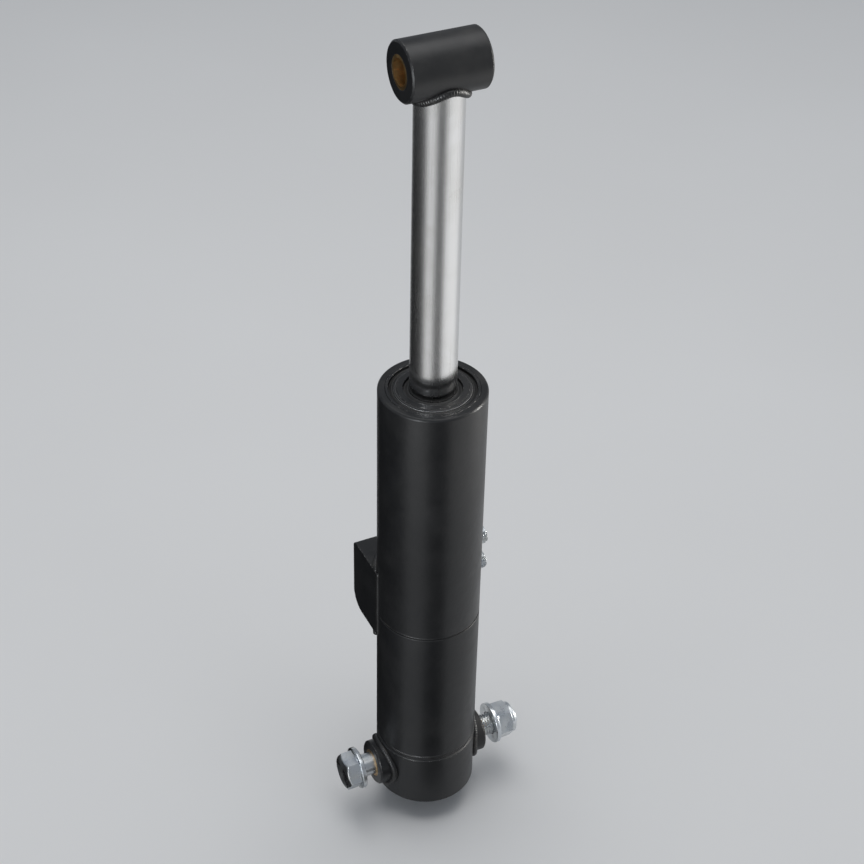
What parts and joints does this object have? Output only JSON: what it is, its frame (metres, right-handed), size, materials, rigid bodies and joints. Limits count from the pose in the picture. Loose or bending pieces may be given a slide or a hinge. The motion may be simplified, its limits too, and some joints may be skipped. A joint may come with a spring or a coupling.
{
  "type": "telescopic hydraulic cylinder",
  "caption": "Double-acting telescopic hydraulic cylinder with a welded barrel, sliding sleeve, chromed rod with eye, side port block and bolted base pivot.",
  "frame": {"origin": "centre of the base pivot bolt, halfway along the cross tube", "axes": "+Z along the cylinder towards the rod eye, +X along the pivot bolt towards its nut and on the side of the ports, +Y towards the back, where the port block is"},
  "size_m": [0.137, 0.0819, 0.582],
  "materials": {
    "black_paint": "semi-gloss black enamel",
    "black_paint_cast": "semi-gloss black enamel on sawn and welded steel",
    "chrome": "hard chrome, ground and polished",
    "zinc": "bright zinc plate",
    "steel": "turned steel, oiled",
    "bronze": "sintered bronze",
    "rubber": "matt nitrile rubber",
    "seal_plastic": "cast polyurethane",
    "guide_plastic": "bronze-filled guide tape",
    "nylon": "nylon"
  },
  "bodies": {
    "pivot_kit": {"pivot_bolt": "zinc", "pivot_washers": "zinc", "pivot_nut": "zinc", "pivot_nut_insert": "nylon"},
    "barrel": {"base_cap": "black_paint_cast", "base_tube": "black_paint", "barrel_tube": "black_paint", "base_weld": "black_paint_cast", "seam_weld": "black_paint_cast", "pivot_tube": "black_paint_cast", "pivot_tube_welds": "black_paint_cast", "pivot_bushes": "bronze", "base_grease_nipple": "zinc", "barrel_head": "black_paint_cast", "head_wiper": "rubber", "head_sleeve_seal": "seal_plastic", "head_guide_ring": "guide_plastic", "head_o_ring": "rubber", "head_lock_screw": "zinc", "port_block": "black_paint_cast", "port_block_weld": "black_paint_cast", "extend_adapter": "zinc", "retract_adapter": "zinc", "adapter_seals": "steel", "extend_pipe": "black_paint_cast", "retract_pipe": "black_paint_cast", "base_port_boss": "black_paint_cast", "head_port_boss": "black_paint_cast"},
    "sleeve": {"sleeve_outer_tube": "chrome", "sleeve_inner_tube": "steel", "sleeve_piston": "steel", "sleeve_piston_seal": "seal_plastic", "sleeve_wear_rings": "guide_plastic", "sleeve_head": "black_paint_cast", "sleeve_wiper": "rubber", "sleeve_rod_seal": "seal_plastic", "sleeve_guide_ring": "guide_plastic", "sleeve_o_rings": "rubber"},
    "rod": {"rod": "chrome", "rod_piston": "steel", "rod_piston_seal": "seal_plastic", "rod_wear_ring": "guide_plastic", "rod_piston_nut": "steel", "rod_eye": "black_paint_cast", "rod_eye_bush": "bronze", "rod_eye_weld": "black_paint_cast", "rod_grease_nipple": "zinc"}
  },
  "joints": [
    {"name": "base_swing", "type": "hinge", "parent": "pivot_kit", "child": "barrel", "pos_m": [0, 0, 0], "axis": [1, 0, 0], "range_deg": [-20, 75]},
    {"name": "sleeve_slide", "type": "slide", "parent": "barrel", "child": "sleeve", "axis": [0, 0, 1], "range_m": [0, 0.185]},
    {"name": "rod_slide", "type": "slide", "parent": "sleeve", "child": "rod", "axis": [0, 0, 1], "range_m": [-0.175, 0.01]}
  ]
}
